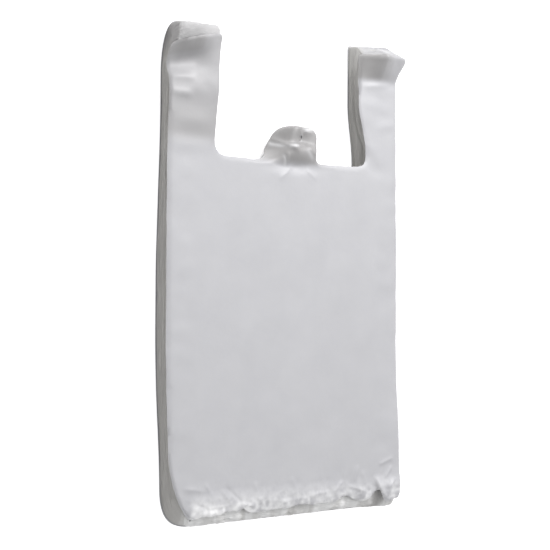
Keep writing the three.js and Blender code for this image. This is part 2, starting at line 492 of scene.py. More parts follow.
def ring_faces(rows, count):
    """Faces between closed rows of points, the last row joined to the first."""
    return [(j * count + i, k * count + i, k * count + n, j * count + n)
            for j, k in zip(range(rows), [*range(1, rows), 0])
            for i, n in zip(range(count), [*range(1, count), 0])]


def add_values(mesh, values, kind="FLOAT", field="value"):
    """Add attributes by name, with one value for each point of the mesh."""
    for name, numbers in values.items():
        attribute = mesh.attributes.new(name, kind, "POINT")
        attribute.data.foreach_set(field, numbers.astype(np.float32).ravel())


def smooth_by_angle(mesh, degrees):
    """Smooth shading that keeps edges sharper than the angle."""
    mesh.shade_smooth()
    mesh.set_sharp_from_angle(angle=math.radians(degrees))


def inside(points, edge):
    """Which points lie inside the closed outline, by counting crossings."""
    x, y = points[:, 0], points[:, 1]
    result = np.zeros(len(points), bool)
    for (ax, ay), (bx, by) in zip(edge, np.roll(edge, -1, axis=0)):
        if ay == by:
            continue
        crosses = (ay > y) != (by > y)
        at = ax + (y - ay) * (bx - ax) / (by - ay)
        result ^= crosses & (x < at)
    return result


def distance_to_edge(points, edge):
    """Distance from each point to the nearest point of the closed outline."""
    start = edge
    along = np.roll(edge, -1, axis=0) - edge
    length2 = np.maximum((along**2).sum(1), 1e-18)
    nearest = np.empty(len(points))
    step = 2000
    for first in range(0, len(points), step):
        offset = points[first : first + step, None, :] - start[None]
        t = np.clip((offset * along[None]).sum(2) / length2, 0, 1)
        gap = offset - t[..., None] * along[None]
        nearest[first : first + step] = np.sqrt((gap**2).sum(2).min(1))
    return nearest


def grid_points(edge, spacing, keep):
    """A staggered grid of points inside the outline, where keep says so, clear of its edge."""
    low, high = edge.min(0), edge.max(0)
    rows = np.arange(low[1], high[1], spacing * math.sqrt(0.75))
    columns = np.arange(low[0], high[0], spacing)
    x = columns[None, :] + np.where(np.arange(len(rows)) % 2 == 0, 0, spacing / 2)[:, None]
    y = np.repeat(rows[:, None], len(columns), axis=1)
    points = np.stack((x.ravel(), y.ravel()), axis=1)
    points = points[keep(points[:, 0], points[:, 1])]
    points = points[inside(points, edge)]
    return points[distance_to_edge(points, edge) > spacing * 0.55]


def near_detail(x, y):
    """Where the film is creased: the base, the handle tips and the tab."""
    base = y < -HALF_LENGTH + 62 * MM
    tips = y > CUT_Y + 36 * MM
    tab = (np.abs(x - 5 * MM) < 48 * MM) & (y > CUT_Y - 22 * MM)
    return base | tips | tab


def pin_ring(scale):
    turn = np.arange(PIN_POINTS) * 2 * math.pi / PIN_POINTS
    a, b = np.cos(turn) * PIN_HOLE[0] * scale, np.sin(turn) * PIN_HOLE[1] * scale
    c, s = math.cos(PIN_TILT), math.sin(PIN_TILT)
    return np.stack((PIN[0] + a * c - b * s, PIN[1] + a * s + b * c), axis=1)


def flat_triangles(edge, fine, coarse):
    """Points and triangles that fill an outline, less the pin's hole."""
    hole = pin_ring(1.0)
    rings = [pin_ring(scale) for scale in (1.5, 2.1)]
    detail = grid_points(edge, fine, near_detail)
    plain = grid_points(edge, coarse, lambda x, y: ~near_detail(x, y))
    inner = np.concatenate((detail, plain))
    inner = inner[np.hypot(*(inner - PIN).T) > 2.6 * PIN_HOLE[1]]
    points = np.concatenate([edge, hole] + rings + [inner])
    count = len(edge)
    edges = [(i, (i + 1) % count) for i in range(count)]
    edges += [(count + i, count + (i + 1) % PIN_POINTS) for i in range(PIN_POINTS)]
    result = delaunay_2d_cdt([Vector(p) for p in points], edges, [list(range(count))], 1, 1e-7)
    flat = np.array([tuple(v) for v in result[0]])
    triangles = np.array(result[2])
    centres = flat[triangles].mean(1)
    triangles = triangles[~inside(centres, hole)]
    return flat, triangles


def rim_of(triangles):
    """The edges used by one triangle only, each running the way its triangle does."""
    edges = np.concatenate((triangles[:, :2], triangles[:, 1:], triangles[:, [2, 0]]))
    known = {tuple(e) for e in edges.tolist()}
    return np.array([e for e in known if (e[1], e[0]) not in known])


def sheet_mesh(name, flat, triangles, top, thickness):
    """A closed sheet: its upper face at the heights in top, its lower face a film below."""
    a, b, c = (flat[triangles[:, i]] for i in range(3))
    ab, ac = b - a, c - a
    turns_left = ab[:, 0] * ac[:, 1] > ab[:, 1] * ac[:, 0]
    triangles = np.where(turns_left[:, None], triangles, triangles[:, ::-1])
    count = len(flat)
    upper = np.column_stack((flat, top))
    lower = np.column_stack((flat, top - thickness))
    rim = rim_of(triangles)
    sides = np.column_stack((rim[:, 1], rim[:, 0], rim[:, 0] + count, rim[:, 1] + count))
    mesh = bpy.data.meshes.new(name)
    faces = triangles.tolist() + (triangles[:, ::-1] + count).tolist() + sides.tolist()
    mesh.from_pydata(np.concatenate((upper, lower)).tolist(), [], faces)
    mesh.validate()
    smooth_by_angle(mesh, 50)
    return mesh


# ---------------------------------------------------------------- creases


def crease(x, y, start, end, height, width):
    """A ridge, or a groove where height is negative, that fades out at both ends."""
    start, end = np.array(start) * MM, np.array(end) * MM
    along = end - start
    length = np.linalg.norm(along)
    along = along / length
    dx, dy = x - start[0], y - start[1]
    t = (dx * along[0] + dy * along[1]) / length
    side = np.abs(dx * along[1] - dy * along[0])
    fade = smoothstep(t, -0.05, 0.3) * smoothstep(-t, -1.05, -0.7)
    return height * MM * np.exp(-side / (width * MM)) * fade


def wave(x, y, start, end, height, width):
    """A soft ridge, or a hollow where height is negative, that fades out all round."""
    start, end = np.array(start) * MM, np.array(end) * MM
    middle = (start + end) / 2
    length = np.linalg.norm(end - start)
    along = (end - start) / length
    dx, dy = x - middle[0], y - middle[1]
    t = (dx * along[0] + dy * along[1]) / (0.5 * length)
    side = (dx * along[1] - dy * along[0]) / (width * MM)
    return height * MM * np.exp(-(side**2) - t**4)


# Creases, in millimetres: start, end, height and width
TAB_CREASES = (
    ((15, 132), (16, 124), 1.5, 1.2),
    ((-3, 112), (-1, 99), 1.0, 1.3),
    ((14, 133), (29, 130), 1.6, 2.0),
    ((17, 121), (31, 108), 1.3, 1.8),
    ((-17, 100), (2, 97), -0.9, 2.0),
    ((2, 97), (32, 102), -0.9, 2.0),
    ((6, 98), (-10, 84), 0.8, 2.2),
    ((20, 97), (34, 86), 0.7, 2.2),
)
BASE_CREASES = (
    ((-98, -206), (-80, -215), -1.6, 1.1),
    ((-82, -214), (-55, -213), -1.4, 1.3),
    ((-66, -193), (-46, -211), -1.6, 1.3),
    ((-48, -211), (-30, -215), 1.3, 1.4),
    ((-110, -192), (-84, -197), 1.1, 3.0),
    ((-88, -188), (-76, -206), 1.0, 2.2),
    ((-70, -196), (-60, -208), 1.1, 1.7),
    ((-28, -212), (-34, -192), 0.8, 2.0),
    ((-20, -209), (4, -214), 1.1, 1.9),
    ((12, -210), (6, -190), 0.8, 2.2),
    ((22, -210), (50, -207), 1.0, 2.0),
    ((52, -209), (64, -198), 1.3, 1.5),
    ((66, -203), (92, -211), 1.4, 1.4),
    ((74, -202), (80, -184), 1.0, 2.0),
    ((88, -205), (84, -190), 0.8, 1.9),
    ((102, -186), (122, -179), 1.4, 1.7),
    ((109, -200), (120, -187), 1.6, 1.7),
    ((113, -208), (123, -199), 1.8, 1.4),
)
# Painted highlights on the tab, in millimetres: start, end, whiteness and width
TAB_PAINTED_HIGHLIGHTS = (
    ((-15, 121), (-3, 116), 0.75, 2.2),
    ((-1, 116), (9, 118), 0.8, 1.8),
    ((17, 133), (31, 135), 0.75, 1.8),
    ((14, 131), (17, 122), 0.4, 1.2),
    ((-6, 108), (-2, 99), 0.65, 1.4),
    ((18, 114), (28, 105), 0.45, 2.4),
)
# Soft waves, in millimetres: start, end, height and width
SOFT_WAVES = (
    ((-12, 124), (8, 113), 2.2, 2.6),
    ((2, 116), (17, 119), 2.2, 2.2),
    ((-126, 168), (-104, 168), 1.2, 4.0),
    ((-126, 154), (-106, 153), 1.1, 3.5),
    ((-124, 143), (-82, 147), -1.0, 6.0),
    ((-96, 162), (-84, 156), -0.6, 5.0),
    ((-120, 131), (-86, 129), 0.5, 5.0),
    ((-124, 119), (-82, 117), -0.5, 4.5),
    ((-122, 107), (-86, 109), 0.4, 4.5),
    ((86, 182), (114, 185), 1.0, 3.5),
    ((84, 118), (102, 97), -1.8, 5.0),
    ((90, 164), (120, 158), 0.6, 6.0),
    ((96, 140), (123, 146), 0.6, 6.0),
)


def crumple(x, y, spacing, seed):
    """Facets of crumpled film, about -0.5 to 0.5, longer along Y than along X."""
    return folded_noise(x / spacing, y / (spacing * 1.9), seed) - 0.62


def film_waves(x, y, seed):
    """The shallow waves of loose film, stronger on the handles and along the sides."""
    broad = 0.5 * noise_mm(x, y, 62, 88, seed)
    middle = 0.16 * noise_mm(x, y, 30, 22, seed + 1)
    handles = smoothstep(y, CUT_Y - 10 * MM, CUT_Y + 25 * MM)
    cross = 0.4 * noise_mm(x, y, 48, 10, seed + 2)
    sides = smoothstep(np.abs(x), HALF_WIDTH - 32 * MM, HALF_WIDTH - 10 * MM)
    ripples = 0.45 * noise_mm(x, y, 26, 11, seed + 3)
    return (broad + middle + handles * cross + sides * ripples) * MM


def seal_waves(x, y, seed):
    """The crumpling that starts at the base seal and at the handle seals and dies out, with finer
    creases next to the base seal."""
    base = near_end(-y, 44, 8)
    tips = near_end(y, 42, 14)
    soft = 2.0 * crumple(x, y, 12 * MM, seed)
    sharp = 1.0 * crumple(x, y, 4.5 * MM, seed + 5)
    crisp = 1.1 * crumple(x, y * 1.6, 3.6 * MM, seed + 9) * near_end(-y, 26, 14)
    return (base * (soft + sharp) + crisp + tips * (0.7 * soft + 0.4 * sharp)) * MM


def corner_fold(x, y):
    """The puffed right corner of the base, which ends in a steep fold on its left."""
    along = x + 0.32 * (y + 214 * MM)
    puff = 3.4 * MM * step_mm(along, 101, 105.5) * step_mm(-y, 194, 207)
    return puff * (1 - 0.6 * step_mm(x, 116, 128))


def rolled_edge(distance, depth, width):
    """How far the film turns down towards its edge."""
    t = np.clip(1 - distance / width, 0, 1)
    return -depth * t**2


# ---------------------------------------------------------------- materials


CLOUD_SIZE = 28 * MM
CRINKLE_DEPTH = 0.4 * MM
FACET_DEPTH = 0.35  # depth of the crinkles' facets, in depths of the finer ones
GLOSS_SPREAD = 0.07  # how much the roughness varies


def node(tree, kind, **inputs):
    made = tree.nodes.new(kind)
    for name, value in inputs.items():
        made.inputs[name.replace("_", " ")].default_value = value
    return made


def film_surface_group():
    """Crinkles and cloudiness of thin white film: a height, a cloud mask and a gloss mask."""
    group = bpy.data.node_groups.new("film_surface", "ShaderNodeTree")
    for name, default in (("Crinkle Size", 4 * MM), ("Cloud Size", 30 * MM)):
        socket = group.interface.new_socket(name, in_out="INPUT", socket_type="NodeSocketFloat")
        socket.default_value = default
    for name in ("Height", "Cloud", "Gloss"):
        group.interface.new_socket(name, in_out="OUTPUT", socket_type="NodeSocketFloat")
    start = group.nodes.new("NodeGroupInput")
    end = group.nodes.new("NodeGroupOutput")
    place = group.nodes.new("ShaderNodeTexCoord")
    link = group.links.new

    def scaled(size_socket):
        inverse = group.nodes.new("ShaderNodeMath")
        inverse.operation = "DIVIDE"
        inverse.inputs[0].default_value = 1.0
        link(start.outputs[size_socket], inverse.inputs[1])
        return inverse.outputs[0]

    crinkle_scale = scaled("Crinkle Size")
    cloud_scale = scaled("Cloud Size")
    fine = node(group, "ShaderNodeTexNoise", Detail=5.0, Roughness=0.55, Distortion=0.6)
    facets = node(group, "ShaderNodeTexVoronoi", Randomness=1.0)
    facets.feature = "DISTANCE_TO_EDGE"
    cloud = node(group, "ShaderNodeTexNoise", Detail=4.0, Roughness=0.6, Distortion=0.2)
    gloss = node(group, "ShaderNodeTexNoise", Detail=2.0, Roughness=0.5, Distortion=0.0)
    for texture, scale in ((fine, crinkle_scale), (facets, crinkle_scale),
                           (cloud, cloud_scale), (gloss, cloud_scale)):
        link(place.outputs["Object"], texture.inputs["Vector"])
        link(scale, texture.inputs["Scale"])
    facet_height = group.nodes.new("ShaderNodeMath")
    facet_height.operation = "MULTIPLY_ADD"
    facet_height.inputs[1].default_value = FACET_DEPTH
    link(facets.outputs["Distance"], facet_height.inputs[0])
    link(fine.outputs["Fac"], facet_height.inputs[2])
    link(facet_height.outputs[0], end.inputs["Height"])
    link(cloud.outputs["Fac"], end.inputs["Cloud"])
    link(gloss.outputs["Fac"], end.inputs["Gloss"])
    return group


def blended(tree, factor, first, second):
    """A colour between two, each a colour value or another node's output."""
    colour = tree.nodes.new("ShaderNodeMix")
    colour.data_type = "RGBA"
    tree.links.new(factor, colour.inputs["Factor"])
    for name, value in (("A", first), ("B", second)):
        if isinstance(value, bpy.types.NodeSocket):
            tree.links.new(value, colour.inputs[name])
        else:
            colour.inputs[name].default_value = (*value, 1)
    return colour.outputs["Result"]


def named(tree, name):
    attribute = tree.nodes.new("ShaderNodeAttribute")
    attribute.attribute_name = name
    return attribute.outputs["Fac"]


def film_material(name, group, thin, thick, seal, bump, roughness):
    """White film: close shades by cloudiness, painted light at the crumpled seals, painted shade on
    the tab, the handles and some stacked edges, a crinkled bump and an uneven satin gloss."""
    settings = bpy.context.scene.bag_film
    material = bpy.data.materials.new(name)
    material.use_nodes = True
    tree = material.node_tree
    shader = tree.nodes["Principled BSDF"]
    shader.inputs["IOR"].default_value = 1.5
    surface = tree.nodes.new("ShaderNodeGroup")
    surface.node_tree = group
    surface.inputs["Crinkle Size"].default_value = settings.crinkle
    surface.inputs["Cloud Size"].default_value = CLOUD_SIZE
    colour = blended(tree, surface.outputs["Cloud"], thin, thick)
    # Blended in order: the clearer film's colour at the handles' cut ends, painted light where pale,
    # and painted shade where fused
    shades = {"tip": settings.thin_shade, "pale": seal, "fused": settings.painted_shade_colour}
    for mask, shade in shades.items():
        colour = blended(tree, named(tree, mask), colour, shade)
    tree.links.new(colour, shader.inputs["Base Color"])
    rough = tree.nodes.new("ShaderNodeMapRange")
    rough.inputs["To Min"].default_value = roughness - GLOSS_SPREAD
    rough.inputs["To Max"].default_value = roughness + GLOSS_SPREAD
    tree.links.new(surface.outputs["Gloss"], rough.inputs["Value"])
    tree.links.new(rough.outputs["Result"], shader.inputs["Roughness"])
    relief = tree.nodes.new("ShaderNodeBump")
    relief.inputs["Strength"].default_value = bump
    relief.inputs["Distance"].default_value = CRINKLE_DEPTH
    tree.links.new(surface.outputs["Height"], relief.inputs["Height"])
    tree.links.new(relief.outputs["Normal"], shader.inputs["Normal"])
    return material


def film_group():
    return bpy.data.node_groups.get("film_surface") or film_surface_group()


def face_film():
    film = bpy.context.scene.bag_film
    return bpy.data.materials.get("face_film") or film_material(
        "face_film", film_group(), film.thin_shade, film.thick_shade, film.seal_painted_light,
        0.2, film.roughness)


def edge_film():
    film = bpy.context.scene.bag_film
    return bpy.data.materials.get("edge_film") or film_material(
        "edge_film", film_group(), film.edge_dark, film.edge_light, film.seal_painted_light,
        0.3, film.roughness + 0.1)


def finish_piece(piece, material):
    if material.name not in piece.data.materials:
        piece.data.materials.append(material)
    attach(piece, "root")
    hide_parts("bag_block")


# ---------------------------------------------------------------- bags behind the front one


def band_points(level, depth, height):
    """One line of a bag's edge band: depth in from the edge, height off the middle of the film.
    The loose film at the handles' cut ends is puffed up, so that it fills the pack's swell."""
    back_edge = outline(0.0)
    height = height * (1 + TIP_PUFF * tip_mask(back_edge[:, 0], back_edge[:, 1]))
    edge = outline(level)
    flat = edge + inward_normals(edge) * depth
    z = film_height(flat[:, 0], flat[:, 1], level) + height
    return np.column_stack((flat, z))


# Values that the node tree reads or makes, and that the finished pieces don't need
WORKING_VALUES = ("even", "late", "inward", "along", "loose", "rough", "gap", "gap_depth", "level")


def bag_band(film_pack):
    """The edge band of the back bag, as a closed ring, with where each point of it goes on the
    bags in front: evenly with the level, and late, in the last bags only."""
    # depth and height of each line: thickest a little way in, and rounded off at the edge
    near, far = 0.15 * MM, 1.4 * MM
    profile = ((BAND, 0), (far, film_pack / 2), (near, film_pack * 0.36),
               (0, 0), (near, -film_pack * 0.36), (far, -film_pack / 2))
    count = len(outline(0.0))
    back, even, late = [], [], []
    for depth, height in profile:
        at_back = band_points(0.0, depth, height)
        to_front = band_points(1.0, depth, height) - at_back
        to_middle = band_points(EVEN_LEVEL, depth, height) - at_back
        late_middle = EVEN_LEVEL**LATE_POWER
        even_part = (to_middle - late_middle * to_front) / (EVEN_LEVEL - late_middle)
        back.append(at_back)
        even.append(even_part)
        late.append(to_front - even_part)
    lines = len(profile)
    mesh = bpy.data.meshes.new("bag_band")
    mesh.from_pydata(np.concatenate(back).tolist(), [], ring_faces(lines, count))
    edge = outline(0.0)
    x, y = edge[:, 0], edge[:, 1]
    steps = np.linalg.norm(np.roll(edge, -1, axis=0) - edge, axis=1)
    along = np.concatenate(([0], np.cumsum(steps)[:-1]))
    inward = np.column_stack((inward_normals(edge), np.zeros(count)))
    tip = mix(0.55, 0.8, x > 0) * tip_mask(x, y)
    base = seal_mask(x, y) * step_mm(x, -102, -84) * (y < 0)
    base *= mix(0.15, 1, step_mm(-x, -122, -110))
    crumpled_tip = 0.6 * tip_mask(x, y) * off_tip_corners(x)
    patches = 0.4 * line_noise(along, 6, 51) + 0.3 * line_noise(along, 2.6, 52)
    # Painted light on the base seal and, fainter, on the right handle's tip. Painted shade around 107
    # mm right of the middle in the lower half, for the notch by the base's right corner, takes away
    # some of that light and greys those bags
    corner_painted_shade = bell_mm(x, 107, 8) * (y < 0)
    pale = np.maximum(base_painted_light_mask(x, y), 0.2 * tip * (x > 0))
    pale = pale * np.clip(0.75 + patches, 0.2, 1) * (1 - 0.9 * corner_painted_shade)
    # The fused value is painted shade: on the tab, on the outer side of the left handle's tip, and by
    # the base's right corner
    fused = np.maximum(tab_painted_shade_mask(x, y), tip_side_painted_shade_mask(x, y))
    gap, gap_depth = gap_of_edge(edge)
    vectors = {"even": np.concatenate(even), "late": np.concatenate(late),
               "inward": np.tile(inward, (lines, 1))}
    add_values(mesh, vectors, "FLOAT_VECTOR", "vector")
    add_values(mesh, {"loose": np.repeat([0.0] + [1.0] * (lines - 1), count)})
    numbers = {
        "along": along, "rough": np.maximum(LEAST_ROUGH, np.maximum(crumpled_tip, base)),
        "pale": pale, "fused": np.maximum(fused, 0.5 * corner_painted_shade), "tip": tip,
        "gap": gap, "gap_depth": gap_depth,
    }
    add_values(mesh, {name: np.tile(values, lines) for name, values in numbers.items()})
    mesh.update()
    return mesh


def bag_stack_tree():
    """Geometry nodes that repeat one bag's edge band through the pack, each bag a little out of
    line with its neighbours."""
    tree = bpy.data.node_groups.new("bag_stack", "GeometryNodeTree")
    face = tree.interface
    face.new_socket("Geometry", in_out="INPUT", socket_type="NodeSocketGeometry")
    for name, kind, value in (
        ("Bags", "NodeSocketInt", 24),
        ("First Level", "NodeSocketFloat", 0.0),
        ("Last Level", "NodeSocketFloat", 1.0),
        ("Group Slip", "NodeSocketFloat", 1.2 * MM),
        ("Bag Slip", "NodeSocketFloat", 0.4 * MM),
        ("Crumple", "NodeSocketFloat", 4.5 * MM),
        ("Wave Length", "NodeSocketFloat", 45 * MM),
        ("Crumple Length", "NodeSocketFloat", 11 * MM),
        ("Seed", "NodeSocketFloat", 3.0),
    ):
        face.new_socket(name, in_out="INPUT", socket_type=kind).default_value = value
    face.new_socket("Film", in_out="INPUT", socket_type="NodeSocketMaterial")
    face.new_socket("Geometry", in_out="OUTPUT", socket_type="NodeSocketGeometry")
    start = tree.nodes.new("NodeGroupInput")
    end = tree.nodes.new("NodeGroupOutput")

    def link(source, target):
        tree.links.new(source, target)

    def put(value, socket):
        if isinstance(value, bpy.types.NodeSocket):
            link(value, socket)
        else:
            socket.default_value = value

    def math_node(operation, *values):
        made = tree.nodes.new("ShaderNodeMath")
        made.operation = operation
        for value, socket in zip(values, made.inputs):
            put(value, socket)
        return made.outputs[0]

    def vector_node(operation, vector, other):
        made = tree.nodes.new("ShaderNodeVectorMath")
        made.operation = operation
        put(vector, made.inputs[0])
        put(other, made.inputs["Scale"] if operation == "SCALE" else made.inputs[1])
        return made.outputs[0]

    def times(*values):
        product = values[0]
        for value in values[1:]:
            product = math_node("MULTIPLY", product, value)
        return product

    def times_plus(value, factor, more):
        return math_node("MULTIPLY_ADD", value, factor, more)

    def given(name):
        return start.outputs[name]

    def stored(name, kind="FLOAT"):
        made = tree.nodes.new("GeometryNodeInputNamedAttribute")
        made.data_type = kind
        made.inputs["Name"].default_value = name
        return made.outputs["Attribute"]

    def wavy(length, across, detail):
        """Noise from -1 to 1 along the edge, with across as its other coordinate."""
        where = tree.nodes.new("ShaderNodeCombineXYZ")
        link(math_node("DIVIDE", stored("along"), length), where.inputs["X"])
        put(across, where.inputs["Y"])
        link(given("Seed"), where.inputs["Z"])
        made = tree.nodes.new("ShaderNodeTexNoise")
        made.inputs["Scale"].default_value = 1.0
        made.inputs["Detail"].default_value = detail
        link(where.outputs[0], made.inputs["Vector"])
        return times_plus(made.outputs["Fac"], 2.0, -1.0)

    # one point for each bag, which carries the bag's number and level
    row = tree.nodes.new("GeometryNodeMeshLine")
    row.inputs["Offset"].default_value = (0, 0, 0)
    link(given("Bags"), row.inputs["Count"])
    number = tree.nodes.new("GeometryNodeInputIndex").outputs[0]
    part = math_node("DIVIDE", math_node("ADD", number, 0.5), given("Bags"))
    span = math_node("SUBTRACT", given("Last Level"), given("First Level"))
    carry = tree.nodes.new("GeometryNodeStoreNamedAttribute")
    carry.data_type = "FLOAT"
    carry.inputs["Name"].default_value = "level"
    link(row.outputs["Mesh"], carry.inputs["Geometry"])
    link(times_plus(part, span, given("First Level")), carry.inputs["Value"])

    copies = tree.nodes.new("GeometryNodeInstanceOnPoints")
    link(carry.outputs["Geometry"], copies.inputs["Points"])
    link(given("Geometry"), copies.inputs["Instance"])
    real = tree.nodes.new("GeometryNodeRealizeInstances")
    link(copies.outputs["Instances"], real.inputs["Geometry"])

    # slips of groups of bags and of single bags, which crumpled film hides
    level = stored("level")
    rough = stored("rough")
    group_wave = wavy(given("Wave Length"), times(level, GROUP_CELLS), 2.0)
    bag_wave = wavy(given("Wave Length"), times(level, BAG_CELLS), 1.0)
    bag_wave = times(bag_wave, times_plus(rough, -CRUMPLE_HIDES, 1.0))
    inset = times(group_wave, given("Group Slip"))
    inset = times_plus(bag_wave, given("Bag Slip"), inset)
    # ragged seals, cut off where they would stick out, and none at the floor
    shred_length = times(given("Crumple Length"), SHRED_LENGTH)
    facet_wave = wavy(given("Crumple Length"), times(level, FACET_CELLS), 3.0)
    shred_wave = wavy(shred_length, times(level, SHRED_CELLS), 1.0)
    ragged = math_node("MAXIMUM", times_plus(shred_wave, SHRED_PART, facet_wave), -STICK_OUT)
    off_floor = math_node("MINIMUM", times(level, 1 / FLOOR_FADE), 1.0)
    inset = times_plus(times(ragged, off_floor, given("Crumple")), rough, inset)
    inset = times_plus(given("Group Slip"), 0.5, inset)
    # the gap between two groups of bags
    off_gap = math_node("DIVIDE", math_node("SUBTRACT", level, stored("gap")), GAP_WIDTH)
    in_gap = math_node("EXPONENT", times(off_gap, off_gap, -1.0))
    inset = times_plus(in_gap, stored("gap_depth"), inset)

    # where each point of each bag goes
    even = vector_node("SCALE", stored("even", "FLOAT_VECTOR"), level)
    late_level = math_node("POWER", level, float(LATE_POWER))
    late = vector_node("SCALE", stored("late", "FLOAT_VECTOR"), late_level)
    inward = vector_node("SCALE", stored("inward", "FLOAT_VECTOR"), inset)
    lift_wave = wavy(given("Crumple Length"), times_plus(level, LIFT_CELLS, LIFT_START), 2.0)
    up = tree.nodes.new("ShaderNodeCombineXYZ")
    lift = times(times(lift_wave, stored("loose")), times(rough, off_floor, LOOSE_LIFT))
    link(lift, up.inputs["Z"])
    place = vector_node("ADD", vector_node("ADD", even, late), inward)
    place = vector_node("ADD", place, up.outputs[0])

    move = tree.nodes.new("GeometryNodeSetPosition")
    link(real.outputs["Geometry"], move.inputs["Geometry"])
    link(place, move.inputs["Offset"])
    finish = tree.nodes.new("GeometryNodeSetMaterial")
    link(move.outputs["Geometry"], finish.inputs["Geometry"])
    link(given("Film"), finish.inputs["Material"])
    link(finish.outputs["Geometry"], end.inputs["Geometry"])
    return tree


def plain_mesh(piece, name):
    """The evaluated piece as a mesh of its own, with the modifiers gone."""
    graph = bpy.context.evaluated_depsgraph_get()
    mesh = bpy.data.meshes.new_from_object(piece.evaluated_get(graph))
    mesh.name = name
    piece.modifiers.clear()
    piece.data = mesh
    return mesh


def stacked_bags(name, bags, first, last, film_pack, seed):
    piece = new_piece(name, bag_band(film_pack))
    modifier = piece.modifiers.new("bags", "NODES")
    modifier.node_group = bpy.data.node_groups.get("bag_stack") or bag_stack_tree()
    settings = bpy.context.scene.bag_pack
    values = {
        "Bags": bags, "First Level": first, "Last Level": last,
        "Group Slip": settings.group_slip, "Bag Slip": settings.bag_slip,
        "Crumple": settings.crumple, "Seed": seed, "Film": edge_film(),
    }
    for item in modifier.node_group.interface.items_tree:
        if item.in_out == "INPUT" and item.name in values:
            modifier[item.identifier] = values[item.name]
    mesh = plain_mesh(piece, name)
    for attribute in WORKING_VALUES:
        mesh.attributes.remove(mesh.attributes[attribute])
    smooth_by_angle(mesh, 60)
    return piece


# ---------------------------------------------------------------- settings


# Subtypes and units of the settings
DISTANCE = {"subtype": "DISTANCE", "unit": "LENGTH"}
ANGLE = {"subtype": "ANGLE", "unit": "ROTATION"}
COLOUR = {"subtype": "COLOR", "size": 3}


class BagPackSettings(bpy.types.PropertyGroup):
    """Sizes of the pack's bags."""

    bags: IntProperty(name="Inner bags", description="Bags shown between the front and the back",
                      default=48, min=4, max=120)
    film: FloatProperty(name="Film", description="Thickness of one bag's films at its edge",
                        default=0.36 * MM, **DISTANCE)
    group_slip: FloatProperty(name="Group slip", description="How far groups of bags slip sideways",
                              default=2.4 * MM, **DISTANCE)
    bag_slip: FloatProperty(name="Bag slip", description="How far one bag slips sideways",
                            default=0.7 * MM, **DISTANCE)
    crumple: FloatProperty(name="Crumple", description="Raggedness of the sealed edges",
                           default=5 * MM, **DISTANCE)


class BagFilmSettings(bpy.types.PropertyGroup):
    """Look of the white film."""

    thin_shade: FloatVectorProperty(name="Thin shade", description="Colour of the clearer film",
                                    default=(0.375, 0.375, 0.392), **COLOUR)
    thick_shade: FloatVectorProperty(name="Thick shade", description="Colour of the cloudier film",
                                     default=(0.43, 0.43, 0.445), **COLOUR)
    # Lighter colour of the crumpled seals: partly the whiter look of crumpled film, partly painted
    # light standing in for light that the seal strips catch
    seal_painted_light: FloatVectorProperty(name="Seal painted light", description="Colour of crumpled film at a seal",
                                    default=(0.8, 0.8, 0.8), **COLOUR)
    # The darker colour of painted shade on the tab, the curling handles and some stacked edges
    painted_shade_colour: FloatVectorProperty(name="Painted shade colour", description="Colour of film fused at the tab",
                                     default=(0.3, 0.294, 0.294), **COLOUR)
    edge_light: FloatVectorProperty(name="Edge light", description="Lighter colour of stacked edges",
                                    default=(0.56, 0.553, 0.54), **COLOUR)
    edge_dark: FloatVectorProperty(name="Edge dark", description="Darker colour of stacked edges",
                                   default=(0.46, 0.452, 0.438), **COLOUR)
    roughness: FloatProperty(name="Roughness", description="Roughness of the film's satin surface",
                             default=0.45, min=0.0, max=1.0, subtype="FACTOR")
    crinkle: FloatProperty(name="Crinkle", description="Size of the film's fine crinkles",
                           default=5 * MM, **DISTANCE)


class BagStageSettings(bpy.types.PropertyGroup):
    """Camera, floor and lights."""

    turn: FloatProperty(name="Turn", description="Turn of the view from straight above to the left",
                        default=math.radians(31.8), **ANGLE)
    tip: FloatProperty(name="Tip", description="Tip of the view towards the base",
                       default=math.radians(1.67), **ANGLE)
    roll: FloatProperty(name="Roll", description="Roll of the view about its own line",
                        default=math.radians(0.29), **ANGLE)
    distance: FloatProperty(name="Distance", description="From the pack's middle to the camera",
                            default=1.067, **DISTANCE)
    lens: FloatProperty(name="Lens", description="Focal length on a 36 mm sensor, in millimetres",
                        default=73.9)
    key_power: FloatProperty(name="Key power", description="Power of the low light at the handles, W",
                             default=35.0)
    top_power: FloatProperty(name="Top power", description="Power of the light overhead, W",
                             default=8.0)
    sky: FloatProperty(name="Sky", description="Strength of the even light from all round",
                       default=0.55)
    glow: FloatProperty(name="Glow", description="Light through the floor, as on a light table",
                        default=0.6)


# ---------------------------------------------------------------- operators


